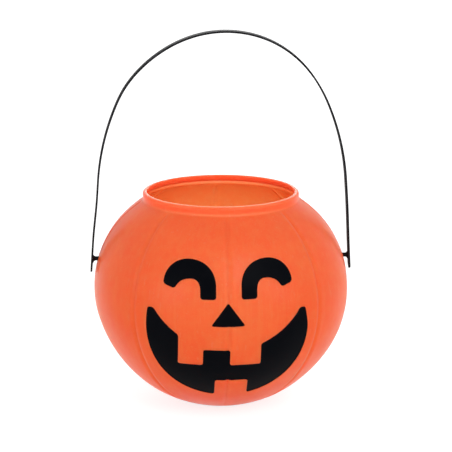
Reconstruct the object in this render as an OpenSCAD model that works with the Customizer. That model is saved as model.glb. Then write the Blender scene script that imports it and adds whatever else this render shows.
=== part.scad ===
// Pumpkin candy pail: a blow-moulded round pail with a painted face and a swinging strap handle.
// The base stands on z = 0, the pail's axis is the z axis, and the face looks along -y.

/* [Pail wall] */
// Widest radius of the round wall
body_r = 107.5; // [100:0.5:115]
// Height of the widest line above the base
waist_z = 100; // [95:0.5:105]
// Radius of the arc of the shoulder and the waist
wall_arc_r = 87; // [83:0.5:91]
// Angle that the wall's arc runs on below the widest line, in degrees
wall_arc_low_deg = 17; // [13:1:21]
// Thickness of the moulded wall
wall = 1.3; // [1.1:0.1:1.6]

/* [Base] */
// Radius of the flat that the pail stands on
base_r = 30; // [27:0.5:36]
// Radius of the pushed-up middle of the base
dimple_r = 18; // [12:0.5:20]
// Height that the middle of the base is pushed up
dimple_h = 1.5; // [0.5:0.1:2.5]
// Width of the slope around the pushed-up middle
dimple_slope_w = 3; // [2:0.5:5]

/* [Neck and rim] */
// Outer radius of the neck
neck_r = 65.8; // [60:0.2:70]
// Height of the neck from the shoulder to the crest of the rim
neck_h = 7.7; // [7:0.1:12]
// Radius of the hollow between the shoulder and the neck
neck_fillet_r = 2.2; // [1:0.1:3]
// Outer radius of the rolled rim's bead
rim_bead_r = 3.2; // [2.8:0.1:3.4]
// Length of the straight skirt that hangs inside the opening below the bead
rim_skirt_h = 2.3; // [1:0.1:4]

/* [Grooves] */
// Number of vertical grooves around the pail
groove_count = 8; // [6:1:12]
// Width of a groove
groove_w = 2.8; // [2:0.1:4]
// Depth of a groove
groove_d = 0.6; // [0.3:0.1:0.8]
// Height of the grooves' lower ends above the base
groove_low_z = 6; // [4:0.5:12]
// Drop from the foot of the neck to the grooves' upper ends
groove_top_drop = 2.5; // [1:0.5:8]

/* [Face panels] */
// Depth of the sunk panels below the wall's surface
panel_d = 1; // [0.8:0.1:1.2]
// Thickness of the black paint in the panels
paint_t = 0.3; // [0.2:0.05:0.4]

/* [Eyes] */
// Distance of an eye's centre from the middle of the face
eye_x = 31.2; // [29:0.2:34]
// Height of an eye's centre
eye_z = 124.8; // [122:0.2:128]
// Outer radius of the eye's arch
eye_r = 20.8; // [19:0.2:22]
// Width of the leg beside the nose
eye_leg_w = 12.4; // [10:0.2:14]
// Length of the leg below the eye's centre
eye_leg_h = 9.4; // [7:0.2:12]
// Height of the black band at the top of the arch
eye_band_h = 14.4; // [12:0.2:16]
// Radius of the arch's inner curve on the side away from the nose
eye_inner_r = 13; // [11:0.2:14]
// Distance that the arch's outer end reaches below the eye's centre
eye_end_h = 1.7; // [0:0.1:3]

/* [Nose] */
// Width of the nose at its base
nose_w = 26; // [22:0.5:30]
// Height of the nose
nose_h = 18; // [15:0.5:20]
// Height of the nose's lower edge above the base
nose_z = 93.6; // [92:0.2:96]

/* [Mouth] */
// Radius of the mouth's lower curve
mouth_r = 66.3; // [62:0.1:68]
// Height of the centre of the lower curve
mouth_z = 91.5; // [90:0.5:94]
// Radius of the mouth's upper curve
smile_r = 71; // [68:0.5:76]
// Height of the centre of the upper curve
smile_z = 142.7; // [140:0.1:146]
// Height of the blunt ends of the mouth
mouth_tip_z = 105.5; // [100:0.5:108]
// Distance of the left upper tooth's centre from the middle
left_tooth_x = 30.6; // [28:0.2:33]
// Width of the left upper tooth
left_tooth_w = 20.3; // [16:0.1:24]
// Distance of the right upper tooth's centre from the middle
right_tooth_x = 13.9; // [12:0.1:16]
// Width of the right upper tooth
right_tooth_w = 25.4; // [22:0.2:28]
// Height of the upper teeth's lower edges
upper_teeth_z = 57.8; // [55:0.2:62]
// Distance of the lower tooth's centre from the middle
lower_tooth_x = 3.1; // [1:0.1:5]
// Width of the lower tooth
lower_tooth_w = 27; // [22:0.5:30]
// Height of the lower tooth's upper edge
lower_tooth_z = 42.4; // [38:0.2:48]

/* [Handle] */
// Height of the handle's pivot axis
pivot_z = 124.5; // [120:0.5:130]
// Gap between the wall and the strap's middle line at the pivot
strap_offset = 5; // [4.7:0.1:6]
// Height of the arch's middle line above the pivot
handle_rise = 192; // [180:0.2:205]
// Thickness of the strap
strap_t = 1.6; // [1:0.1:2]
// Width of the strap
strap_w = 9.6; // [8:0.2:12]
// Length of the strap's tail below the pivot
tail_h = 11.6; // [9:0.2:14]
// Radius of the arch's crown as a share of the arch's half width at the pivot
crown_share = 0.846; // [0.82:0.002:0.87]
// Angle from the top at which the crown ends, in degrees
crown_deg = 30; // [26:1:34]
// Radius of the bend below the crown as a share of the arch's half width at the pivot
bend_share = 0.92; // [0.89:0.002:0.94]
// Angle from the top at which the bend ends, in degrees
bend_deg = 66; // [62:1:70]
// Angle that the straight legs lean outward, in degrees
leg_lean_deg = 4; // [3:0.5:5]

/* [Studs] */
// Diameter of the stud's neck
stud_d = 3.6; // [3:0.1:4.2]
// Radial clearance of the stud's neck in its hole
stud_clearance = 0.08; // [0.04:0.01:0.1]
// Diameter of the stud's head inside the pail
stud_head_d = 6.8; // [6:0.2:8]
// Diameter of the head's tip
stud_tip_d = 3; // [2:0.2:4]
// Length of the head
stud_head_h = 3.6; // [2.5:0.1:5]
// Gap between the head and the nearest point of the wall's inner face
stud_play = 0.2; // [0.1:0.05:0.5]
// Diameter of the flare where the stud joins the strap
stud_flare_d = 6.4; // [5:0.2:8]
// Length of the flare
stud_flare_h = 1.5; // [1:0.1:2]
// Diameter of the plain pad around each handle hole, where the groove is left out
pad_d = 13; // [10:0.5:18]

/* [Hidden] */
$fn = 96;

pail_orange = [0.95, 0.42, 0.22];
face_black = [0.05, 0.05, 0.06];
strap_black = [0.09, 0.09, 0.1];

// Overrun of a cut past the face that it opens
over = 1;
// Amount by which one arc crosses another where they would only touch
crossing = 0.05;

// Centre of the wall's arc, and the heights of the neck's foot, the bead and the rim
wall_arc_x = body_r - wall_arc_r;
neck_foot_z = waist_z + sqrt(pow(wall_arc_r, 2) - pow(neck_r - wall_arc_x, 2));
rim_z = neck_foot_z + neck_h;
bead_x = neck_r - rim_bead_r;
bead_z = rim_z - rim_bead_r;

// The bowl's arc carries on from the wall's arc and ends at the edge of the base
join_dir = [cos(wall_arc_low_deg), -sin(wall_arc_low_deg)];
join = [wall_arc_x, waist_z] + wall_arc_r * join_dir;
join_to_base = join - [base_r, 0];
bowl_arc_r = (join_to_base * join_to_base) / (2 * (join_to_base * join_dir));
bowl_centre = join - bowl_arc_r * join_dir;

// Centre of the hollow between the shoulder and the neck, and its direction from the wall's arc
fillet_x = neck_r + neck_fillet_r;
fillet_z = waist_z + sqrt(pow(wall_arc_r + neck_fillet_r, 2) - pow(fillet_x - wall_arc_x, 2));
fillet_dir = ([fillet_x, fillet_z] - [wall_arc_x, waist_z]) / (wall_arc_r + neck_fillet_r);

// Radius of the inner curve above the eye's leg
eye_void_r = eye_r - eye_leg_w;

// Distance of the wall from the pail's axis at a height above the widest line, drawn in by the inset
function wall_x(z, inset) = wall_arc_x + sqrt(pow(wall_arc_r - inset, 2) - pow(z - waist_z, 2));

// Arch of the handle: crown, bend, side arc and straight leg, seen from the front, right half
function up_dir(deg) = [sin(deg), cos(deg)];
function along_dir(deg) = [cos(deg), -sin(deg)];
pivot_x = wall_x(pivot_z, 0) + strap_offset;
leg_deg = 90 - leg_lean_deg;
crown_r = crown_share * pivot_x;
bend_r = bend_share * pivot_x;
crown_centre = [0, pivot_z + handle_rise - crown_r];
bend_centre = crown_centre + (crown_r - bend_r) * up_dir(crown_deg);
bend_end = bend_centre + bend_r * up_dir(bend_deg);
bend_to_pivot = [pivot_x, pivot_z] - bend_end;
side_arc_r = (bend_to_pivot * up_dir(leg_deg)) / (1 - cos(leg_deg - bend_deg));
side_centre = bend_end - side_arc_r * up_dir(bend_deg);
leg_start = side_centre + side_arc_r * up_dir(leg_deg);
leg_h = ([pivot_x, pivot_z] - leg_start) * along_dir(leg_deg);
// Largest angle between neighbouring points of the arch
arc_step_deg = 3;

// Distance of the stud head's outer face from the pail's axis
head_z = pivot_z + stud_head_d / 2;
head_x = sqrt(pow(wall_x(head_z, wall), 2) - pow(stud_head_d / 2, 2)) - stud_play;

// Filled half section of the pail's round part, drawn in by the inset
module round_section(inset) {
    difference() {
        intersection() {
            union() {
                translate([wall_arc_x, waist_z])
                    circle(wall_arc_r - inset);
                intersection() {
                    translate(bowl_centre)
                        circle(bowl_arc_r - crossing - inset);
                    square([body_r, join[1]]);
                }
            }
            translate([0, inset])
                square([body_r, rim_z]);
        }
        polygon([
            [-over, inset - over],
            [dimple_r + dimple_slope_w, inset - over],
            [dimple_r + dimple_slope_w, inset],
            [dimple_r, inset + dimple_h],
            [-over, inset + dimple_h]
        ]);
    }
}

// Hollow inside the round part and the neck
module hollow_section() {
    round_section(wall);
    translate([0, waist_z])
        square([neck_r - wall, rim_z - waist_z + over]);
}

// Material that fills the corner between the shoulder and the neck
module neck_fillet_section() {
    foot = [fillet_x, fillet_z] - (neck_fillet_r + wall / 2) * fillet_dir;
    difference() {
        polygon([[neck_r - wall / 2, foot[1]], foot, [fillet_x, fillet_z], [neck_r - wall / 2, fillet_z]]);
        translate([fillet_x, fillet_z])
            circle(neck_fillet_r + crossing);
    }
}

// Neck with its rolled rim: a half-round bead and a skirt that hangs from it inside the opening
module rim_section() {
    neck_root_h = bead_z - neck_foot_z + wall / 2;
    translate([bead_x, bead_z])
        difference() {
            union() {
                circle(rim_bead_r);
                translate([-rim_bead_r, -rim_skirt_h])
                    square([rim_bead_r, rim_skirt_h]);
                translate([0, -neck_root_h])
                    square([rim_bead_r, neck_root_h]);
            }
            circle(rim_bead_r - wall);
            translate([wall - rim_bead_r, -neck_root_h - over])
                square([2 * (rim_bead_r - wall), neck_root_h + over]);
            translate([-rim_bead_r - over, -neck_root_h - over])
                square([rim_bead_r + over, neck_root_h + over - rim_skirt_h]);
        }
}

// Upright slabs, evenly spaced from the middle of the face, that mark where the grooves run
module groove_bars() {
    groove_h = neck_foot_z - groove_top_drop - groove_low_z;
    difference() {
        for (i = [0 : groove_count - 1])
            rotate([0, 0, 360 / groove_count * i - 90])
                translate([base_r / 2, -groove_w / 2, groove_low_z])
                    cube([body_r, groove_w, groove_h]);
        translate([0, 0, pivot_z])
            rotate([0, 90, 0])
                cylinder(d = pad_d, h = 3 * body_r, center = true);
    }
}

// Part of a disc that lies above a line
module disc_above(r, z) {
    intersection() {
        circle(r);
        translate([-r - over, z])
            square([2 * (r + over), r - z + over]);
    }
}

// Outline of the right eye, widened all round by the growth
module eye_outline(growth) {
    arch_top_z = eye_z + eye_r - eye_band_h;
    difference() {
        union() {
            translate([eye_x, eye_z])
                disc_above(eye_r + growth, -eye_end_h - growth);
            translate([eye_x - eye_r - growth, eye_z - eye_leg_h - growth])
                square([eye_leg_w + 2 * growth, eye_leg_h + growth]);
        }
        translate([eye_x, arch_top_z - eye_void_r])
            circle(eye_void_r - growth);
        translate([eye_x - eye_void_r + growth, eye_z - eye_leg_h - growth - over])
            square([eye_void_r - growth, arch_top_z - eye_void_r - eye_z + eye_leg_h + growth + over]);
        intersection() {
            translate([eye_x, arch_top_z - eye_inner_r])
                circle(eye_inner_r - growth);
            translate([eye_x, eye_z - eye_r])
                square([eye_r, 2 * eye_r]);
        }
    }
}

// Outline of the nose, widened all round by the growth
module nose_outline(growth) {
    half_w = nose_w / 2;
    side_h = sqrt(pow(half_w, 2) + pow(nose_h, 2));
    grown_w = half_w + growth * (side_h + half_w) / nose_h;
    polygon([
        [-grown_w, nose_z - growth],
        [grown_w, nose_z - growth],
        [0, nose_z + nose_h + growth * side_h / half_w]
    ]);
}

// Outline of the mouth with its three teeth left out, widened all round by the growth
module mouth_outline(growth) {
    difference() {
        translate([0, mouth_z])
            circle(mouth_r + growth);
        translate([0, smile_z])
            circle(smile_r - growth);
        translate([-mouth_r, mouth_tip_z + growth])
            square([2 * mouth_r, mouth_r]);
        upper_tooth(-left_tooth_x, left_tooth_w, growth);
        upper_tooth(right_tooth_x, right_tooth_w, growth);
        translate([lower_tooth_x - lower_tooth_w / 2 + growth, mouth_z - mouth_r - growth - over])
            square([lower_tooth_w - 2 * growth, lower_tooth_z - mouth_z + mouth_r + over]);
    }
}

module upper_tooth(centre_x, width, growth) {
    translate([centre_x - width / 2 + growth, upper_teeth_z + growth])
        square([width - 2 * growth, smile_z - upper_teeth_z]);
}

// Bar with the given outline that runs forward from the pail's axis through the front wall
module forward() {
    rotate([90, 0, 0])
        linear_extrude(height = body_r + over)
            children();
}

module face_bars(growth) {
    forward() eye_outline(growth);
    forward() mirror([1, 0]) eye_outline(growth);
    forward() nose_outline(growth);
    forward() mouth_outline(growth);
}

// Paint that fills the bottom of a panel with the given outline
module paint() {
    color(face_black)
        difference() {
            intersection() {
                forward() children();
                rotate_extrude() round_section(panel_d - paint_t);
            }
            rotate_extrude() round_section(panel_d);
        }
}

module left_eye_paint() {
    paint() mirror([1, 0]) eye_outline(0);
}

module right_eye_paint() {
    paint() eye_outline(0);
}

module nose_paint() {
    paint() nose_outline(0);
}

module mouth_paint() {
    paint() mouth_outline(0);
}

// Hollow of the pail; behind the face the wall steps inward with the panels
module hollow() {
    difference() {
        rotate_extrude() hollow_section();
        difference() {
            face_bars(wall);
            rotate_extrude() round_section(wall + panel_d);
        }
    }
}

module pail_body() {
    color(pail_orange) {
        difference() {
            rotate_extrude() round_section(0);
            hollow();
            difference() {
                groove_bars();
                rotate_extrude() round_section(groove_d);
            }
            difference() {
                face_bars(0);
                rotate_extrude() round_section(panel_d);
            }
            translate([0, 0, pivot_z])
                rotate([0, 90, 0])
                    cylinder(d = stud_d + 2 * stud_clearance, h = 2 * (body_r + over), center = true);
        }
        rotate_extrude() {
            neck_fillet_section();
            rim_section();
        }
    }
}

// Right half of the arch seen from the front, from the crown's top to the tail, moved out by the offset
function arc_points(centre, r, from_deg, to_deg) =
    let (steps = ceil((to_deg - from_deg) / arc_step_deg))
    [for (i = [1 : steps]) centre + r * up_dir(from_deg + (to_deg - from_deg) * i / steps)];
function half_arch(offset) = concat(
    arc_points(crown_centre, crown_r + offset, 0, crown_deg),
    arc_points(bend_centre, bend_r + offset, crown_deg, bend_deg),
    arc_points(side_centre, side_arc_r + offset, bend_deg, leg_deg),
    [leg_start + offset * up_dir(leg_deg) + (leg_h + tail_h) * along_dir(leg_deg)]
);
function backward(points) = [for (i = [len(points) - 1 : -1 : 0]) points[i]];
function mirrored(points) = [for (p = points) [-p[0], p[1]]];
function whole_arch(offset) = concat(
    backward(mirrored(half_arch(offset))),
    [crown_centre + (crown_r + offset) * up_dir(0)],
    half_arch(offset)
);

// Flat strap bent into the arch, with rounded ends
module strap() {
    tail_end = leg_start + (leg_h + tail_h) * along_dir(leg_deg);
    tail_z = tail_end[1] + strap_w / 2;
    difference() {
        rotate([90, 0, 0])
            linear_extrude(height = strap_w, center = true)
                polygon(concat(whole_arch(strap_t / 2), backward(whole_arch(-strap_t / 2))));
        difference() {
            translate([-body_r - strap_w, -strap_w, tail_z - strap_w])
                cube([2 * (body_r + strap_w), 2 * strap_w, strap_w]);
            translate([0, 0, tail_z])
                rotate([0, 90, 0])
                    cylinder(r = strap_w / 2 + crossing, h = 3 * body_r, center = true);
        }
    }
}

// Stud that runs inward from the strap through the wall and ends in a head
module stud() {
    flare_x = pivot_x - strap_t / 2 - stud_flare_h;
    translate([0, 0, pivot_z])
        rotate([0, 90, 0])
            rotate_extrude()
                polygon([
                    [0, head_x - stud_head_h],
                    [stud_tip_d / 2, head_x - stud_head_h],
                    [stud_head_d / 2, head_x],
                    [stud_d / 2, head_x],
                    [stud_d / 2, flare_x],
                    [stud_flare_d / 2, pivot_x],
                    [0, pivot_x]
                ]);
}

module handle() {
    color(strap_black) {
        strap();
        stud();
        mirror([1, 0, 0]) stud();
    }
}

pail_body();
left_eye_paint();
right_eye_paint();
nose_paint();
mouth_paint();
handle();
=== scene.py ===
import math

import bpy
import numpy as np
from bpy.props import FloatProperty, FloatVectorProperty, IntProperty, PointerProperty
from mathutils import Matrix, Vector, geometry, kdtree


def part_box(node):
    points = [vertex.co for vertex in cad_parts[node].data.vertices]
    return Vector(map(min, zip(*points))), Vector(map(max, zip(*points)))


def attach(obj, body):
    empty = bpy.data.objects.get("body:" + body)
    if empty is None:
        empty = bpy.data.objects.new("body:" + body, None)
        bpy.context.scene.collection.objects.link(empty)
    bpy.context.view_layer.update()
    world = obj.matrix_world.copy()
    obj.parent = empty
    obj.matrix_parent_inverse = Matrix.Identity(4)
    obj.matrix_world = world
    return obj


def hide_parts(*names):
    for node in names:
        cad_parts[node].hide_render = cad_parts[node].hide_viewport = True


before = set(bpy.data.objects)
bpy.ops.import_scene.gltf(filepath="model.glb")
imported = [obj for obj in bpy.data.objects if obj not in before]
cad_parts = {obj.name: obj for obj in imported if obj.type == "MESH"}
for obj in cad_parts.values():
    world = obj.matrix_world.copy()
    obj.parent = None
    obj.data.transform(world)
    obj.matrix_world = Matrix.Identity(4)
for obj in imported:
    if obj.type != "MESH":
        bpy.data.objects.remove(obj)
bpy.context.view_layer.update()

bl_info = {
    "name": "Pumpkin candy pail",
    "version": (1, 0, 0),
    "blender": (4, 5, 0),
    "location": "3D View > Sidebar > Candy pail",
    "description": "Builds a blow-moulded pumpkin pail with a painted face and a strap handle",
    "category": "Add Mesh",
}

MM = 0.001
PAIL_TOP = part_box("pail_body")[1].z

# Step between the points of an outline while it is being shaped
FINE = 0.1 * MM

# Edges of the pail and the paint, and of the handle, stay sharp from these angles on
SHARP_ANGLE, HANDLE_SHARP_ANGLE = math.radians(50), math.radians(40)


# Properties

def length(name, description, millimetres):
    return FloatProperty(
        name=name, description=description, default=millimetres * MM, min=0.0, precision=5, unit="LENGTH"
    )


def angle(name, description, degrees):
    return FloatProperty(name=name, description=description, default=math.radians(degrees), unit="ROTATION")


def plain_number(name, description, value):
    return FloatProperty(name=name, description=description, default=value)


def watts(name, description, power):
    return FloatProperty(name=name, description=description, default=power, unit="POWER")


def colour(name, description, rgb):
    return FloatVectorProperty(
        name=name, description=description, default=rgb, size=3, min=0.0, max=1.0, subtype="COLOR"
    )


class PailSizes(bpy.types.PropertyGroup):
    body_radius: length("Body radius", "Widest radius of the round wall", 107.5)
    waist_height: length("Waist height", "Height of the widest line above the base", 100)
    wall_arc_radius: length("Wall arc", "Radius of the arc of the shoulder and the waist", 87)
    low_angle: angle("Lower angle", "Angle that the wall's arc runs on below the widest line", 17)
    wall: length("Wall", "Thickness of the moulded wall", 1.3)
    base_radius: length("Base radius", "Radius of the flat under the bowl's arc", 30)
    foot_inset: length("Foot inset", "Distance that the foot is drawn in from the bowl's arc", 4.7)
    foot_height: length("Foot height", "Height over which the foot is drawn in", 17)
    base_edge: length("Base edge", "Radius of the round between the base and the bowl", 12)
    dimple_radius: length("Dimple radius", "Radius of the flat pushed-up middle of the base", 12)
    dimple_slope: length("Dimple slope", "Width of the slope around the pushed-up middle", 5)
    dimple_height: length("Dimple height", "Height that the middle of the base is pushed up", 1.5)
    scar_height: length("Scar height", "Height of the pinched weld line across the base", 0.5)
    scar_width: length("Scar width", "Half width of the pinched weld line across the base", 0.45)
    rim_height: length("Rim height", "Height of the crest of the rim", PAIL_TOP / MM)
    neck_radius: length("Neck radius", "Outer radius of the rim's bead from the pail's axis", 65.8)
    bead_radius: length("Bead radius", "Outer radius of the rolled bead", 3.2)
    neck_fillet: length("Neck fillet", "Radius of the hollow between the shoulder and the neck", 2.2)
    neck_taper: angle("Neck taper", "Lean of the neck below the bead", 3)
    bead_squareness: plain_number("Squareness", "How square the bead's corners are", 2.7)
    bead_inner: plain_number("Inner share", "Width of the bead's inner half as a share of its outer", 0.2)
    skirt: length("Skirt", "Length of the straight skirt inside the opening below the bead", 0.5)
    swell: length("Swell", "Distance that the lower right side stands out from the round", 1.2)
    swell_turn: angle("Swell turn", "Turn of the middle of the swell, from the front", 80)
    swell_width: angle("Swell width", "Half width of the swell", 38)
    swell_low: length("Swell foot", "Height at which the swell starts", 12)
    swell_high: length("Swell top", "Height at which the swell ends, below the way of the handle", 108)
    row_step: length("Row step", "Distance between the rows of the mesh up the wall", 2.4)


class GrooveSizes(bpy.types.PropertyGroup):
    count: IntProperty(name="Grooves", description="Number of grooves around the pail", default=8, min=1)
    depth: length("Depth", "Depth of a groove at its middle", 0.85)
    half_width: length("Half width", "Half width of a groove", 1.8)
    shoulder: length("Shoulder", "Distance of a groove's raised shoulder from its middle", 3.6)
    shoulder_width: length("Shoulder width", "Half width of the raised shoulder", 1.6)
    shoulder_height: length("Shoulder height", "Height of the shoulder over the wall between grooves", 0.2)
    low_end: length("Lower end", "Height at which a groove runs out above the base", 5)
    low_fade: length("Lower fade", "Height over which a groove's lower end fades out", 8)
    top_end: length("Upper end", "Drop of a groove's upper end below the rim", 7.4)
    top_fade: length("Upper fade", "Height over which a groove's upper end fades out", 3)
    pad_radius: length("Pad radius", "Radius of the plain pad around a handle hole", 6)
    pad_fade: length("Pad fade", "Width over which the grooves fade out around a pad", 2.5)
    unevenness: length("Unevenness", "Depth of the faint waves of the moulded wall", 0.06)


class FaceSizes(bpy.types.PropertyGroup):
    panel_depth: length("Panel depth", "Depth of the sunk panels", 1)
    paint: length("Paint", "Thickness of the paint on a panel's floor", 0.28)
    paint_edge: length("Paint edge", "Thickness of the paint at its thin edge", 0.03)
    paint_gap: length("Paint gap", "Hair gap that keeps the paint's back clear of the plastic", 0.01)
    corner: length("Corner", "Distance over which the outlines' corners are rounded", 4)
    eye_corner: length("Eye corner", "Distance over which the corners of the eyes are rounded", 5)
    eye_fullness: length("Eye fullness", "How far the arch swells at its shoulder near the nose", 0.9)
    mouth_fullness: length("Mouth fullness", "How far the lower curve swells beside its foot", 0.5)
    point_step: length("Point step", "Distance between the points of an outline", 0.5)
    eye_x: length("Eye distance", "Distance of an eye's centre from the middle", 31.2)
    eye_z: length("Eye height", "Height of an eye's centre", 124.8)
    eye_radius: length("Eye radius", "Outer radius of the eye's arch", 20.8)
    leg_width: length("Leg width", "Width of the leg beside the nose", 12.4)
    leg_drop: length("Leg length", "Length of the leg below the eye's centre", 9.4)
    band: length("Band", "Height of the black band at the top of the arch", 14.4)
    eye_inner_radius: length("Inner radius", "Radius of the arch's inner curve away from the nose", 13)
    end_drop: length("End", "Distance that the arch's outer end reaches below the eye's centre", 1.9)
    end_slant: length("End slant", "Rise of the outer end from its inner to its outer corner", 2.9)
    nose_width: length("Nose width", "Width of the nose at its base", 27.5)
    nose_height: length("Nose height", "Height of the nose", 19)
    nose_x: length("Nose offset", "Distance of the nose from the middle, to the left", 0.6)
    nose_z: length("Nose base", "Height of the nose's lower edge above the base", 93.6)
    nose_bow: length("Nose bow", "Sag of the nose's lower edge", 0.5)
    mouth_radius: length("Mouth radius", "Radius of the mouth's lower curve", 66.5)
    mouth_z: length("Mouth height", "Height of the centre of the lower curve", 91.5)
    smile_radius: length("Smile radius", "Radius of the mouth's upper curve", 71)
    smile_z: length("Smile height", "Height of the centre of the upper curve", 142.7)
    left_tip_z: length("Left tip height", "Height of the mouth's left end", 105.6)
    right_tip_z: length("Right tip height", "Height of the mouth's right end", 104)
    right_tip_draw: length("Right tip draw", "How far the mouth's right end is drawn in", 1.6)
    left_tooth_x: length("Left tooth", "Distance of the left upper tooth's centre from the middle", 30.6)
    left_tooth_width: length("Left tooth width", "Width of the left upper tooth", 20.3)
    right_tooth_x: length("Right tooth", "Distance of the right upper tooth's centre from the middle", 13.9)
    right_tooth_width: length("Right tooth width", "Width of the right upper tooth", 25.4)
    upper_teeth_z: length("Upper teeth", "Height of the upper teeth's lower edges", 57.8)
    lower_tooth_x: length("Lower tooth", "Distance of the lower tooth's centre from the middle", 3.1)
    lower_tooth_width: length("Lower tooth width", "Width of the lower tooth", 27)
    lower_tooth_z: length("Lower tooth height", "Height of the lower tooth's upper edge", 42.4)


class HandleSizes(bpy.types.PropertyGroup):
    pivot_z: length("Pivot height", "Height of the handle's pivot axis", 124.5)
    offset: length("Offset", "Gap between the wall and the strap's middle line at the pivot", 5)
    rise: length("Rise", "Height of the arch's middle line above the pivot", 192)
    thickness: length("Thickness", "Thickness of the strap", 1.6)
    width: length("Width", "Width of the strap", 9.6)
    edge: length("Edge", "Round of the strap's edges", 0.2)
    tail: length("Tail", "Length of the strap's tail below the pivot", 11.6)
    crown_share: plain_number("Crown share", "Radius of the crown as a share of the arch's half width", 0.846)
    crown_angle: angle("Crown angle", "Angle from the top at which the crown ends", 30)
    bend_share: plain_number("Bend share", "Radius of the bend as a share of the arch's half width", 0.92)
    bend_angle: angle("Bend angle", "Angle from the top at which the bend ends", 66)
    lean: angle("Lean", "Angle that the straight legs lean outward", 4)
    drift: length("Drift", "Distance that the springy legs stand to one side of the middle", 1.2)
    drift_height: length("Drift height", "Height above the pivot where the legs have drifted aside", 54)
    left_drift_start: length("Left start", "Height above the pivot where the left leg starts to drift", 14)
    crown_drift: length("Crown drift", "Distance that the crown leans over further than the legs", 2.4)
    crown_drift_start: length("Crown start", "Height above the pivot where the crown starts to lean", 140)
    stud: length("Stud", "Radius of the stud's neck", 1.8)
    flare: length("Flare", "Radius of the flare where the stud joins the strap", 4)
    flare_length: length("Flare length", "Length of the flare", 2.6)
    head: length("Head", "Radius of the stud's head inside the pail", 3.4)
    head_tip: length("Head tip", "Radius of the head's tip", 1.5)
    head_length: length("Head length", "Length of the head", 3.6)
    blunt: length("Blunt", "Round of the head's edges", 0.15)
    play: length("Play", "Gap between the head and the wall's inner face", 0.2)
    hole: length("Hole", "Radius of the handle hole in the wall", 1.88)
    gate: length("Gate", "Radius of the gate mark under the crown", 1.2)
    gate_height: length("Gate height", "Height of the gate mark", 0.3)
    pin: length("Pin mark", "Radius of the marks that the ejector pins leave on the strap's inner face", 1.9)
    pin_depth: length("Pin depth", "Depth of the ejector pins' marks", 0.15)
    pin_step: length("Pin step", "Distance between the ejector pins' marks", 42)


class Finish(bpy.types.PropertyGroup):
    orange: colour("Orange", "Main colour of the pail's plastic", (0.99, 0.074, 0.018))
    orange_thin: colour("Thin orange", "Colour of the pail where its wall is thinner", (0.99, 0.112, 0.03))
    # Painted shade: a duller orange that darkens the rim's solid bead against the light glowing through it,
    # not a colour of its own
    bead_shade_orange: colour("Thick orange", "Colour of the solid bead of the rim", (0.88, 0.1, 0.032))
    orange_scuff: colour("Scuff", "Colour of worn and rubbed plastic", (0.88, 0.26, 0.14))
    glow_depth: length("Glow depth", "Distance that light travels inside the pail's plastic", 30)
    orange_roughness: plain_number("Orange roughness", "Roughness of the pail where it is smoothest", 0.3)
    orange_gloss: plain_number("Orange gloss", "Strength of the pail's mirror-like gloss", 0.12)
    peel_depth: length("Peel depth", "Depth of the fine orange peel of the pail", 0.06)
    rubbed_height: length("Rubbed height", "Height to which the pail's foot is rubbed", 16)
    paint_black: colour("Paint", "Colour of the face paint", (0.0006, 0.001, 0.002))
    paint_thin: colour("Thin paint", "Colour of the paint where it is thin", (0.002, 0.002, 0.003))
    paint_roughness: plain_number("Paint roughness", "Roughness of the paint where it is smoothest", 0.32)
    paint_gloss: plain_number("Paint gloss", "Strength of the paint's mirror-like gloss", 0.02)
    spray_depth: length("Spray depth", "Depth of the paint's sprayed grain", 0.04)
    strap_black: colour("Strap", "Colour of the handle's plastic", (0.005, 0.005, 0.006))
    strap_grey: colour("Rubbed strap", "Colour of the handle where it is rubbed", (0.028, 0.028, 0.031))
    strap_roughness: plain_number("Strap roughness", "Roughness of the handle where it is smoothest", 0.5)
    strap_gloss: plain_number("Strap gloss", "Strength of the handle's mirror-like gloss", 0.06)
    grain_depth: length("Grain depth", "Depth of the handle's flow lines and grain", 0.05)
    floor_white: colour("Floor", "Colour that the floor throws back at the pail", (0.92, 0.92, 0.92))
    floor_shade: colour("Floor shade", "Colour of the floor's shaded part in the picture", (0.35, 0.35, 0.35))


class StageSettings(bpy.types.PropertyGroup):
    aim_height: length("Aim height", "Height of the point that the view is measured from", 100)
    distance: length("Distance", "Distance of the camera from that point", 1761)
    azimuth: angle("Azimuth", "Turn of the camera around the pail", -3.6)
    elevation: angle("Elevation", "Height of the camera above the horizon", 15)
    lens: length("Lens", "Focal length", 164.7)
    sensor: length("Sensor", "Width of the sensor", 36)
    picture: plain_number("Picture", "Width and height of the picture in pixels", 452)
    aim_x: plain_number("Aim column", "Pixel column of the aim point", 220.8)
    aim_y: plain_number("Aim row", "Pixel row of the aim point", 284.3)
    sky: plain_number("Sky", "Strength of the even light from all round", 0.9)
    key: watts("Key", "Power of the lamp above the camera", 20)
    left_fill: watts("Left fill", "Power of the left lamp", 10)
    right_fill: watts("Right fill", "Power of the right lamp", 6.5)
    back: watts("Back", "Power of the lamp behind the pail", 12)
    floor_glow: plain_number("Floor glow", "White that the camera sees in the floor", 0.8)
    floor_reach: length("Floor reach", "Half width of the floor", 6000)
    floor_drop: length("Floor drop", "Gap under the base, which keeps the two faces from flickering", 0.1)


# Nodes

class Value:
    """A number in a material. Arithmetic on it adds Math nodes."""

    def __init__(self, graph, socket):
        self.graph = graph
        self.socket = socket

    def math(self, operation, other):
        return self.graph.node("ShaderNodeMath", {"operation": operation}, {0: self, 1: other})

    def __add__(self, other):
        return self.math("ADD", other)

    def __sub__(self, other):
        return self.math("SUBTRACT", other)

    def __rsub__(self, other):
        return self.graph.node("ShaderNodeMath", {"operation": "SUBTRACT"}, {0: other, 1: self})

    def __mul__(self, other):
        return self.math("MULTIPLY", other)

    __radd__ = __add__
    __rmul__ = __mul__

    def between(self, low, high):
        """Runs smoothly from 0 at low to 1 at high."""
        inputs = {"Value": self, "From Min": low, "From Max": high}
        return self.graph.node("ShaderNodeMapRange", {"interpolation_type": "SMOOTHSTEP"}, inputs)


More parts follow.
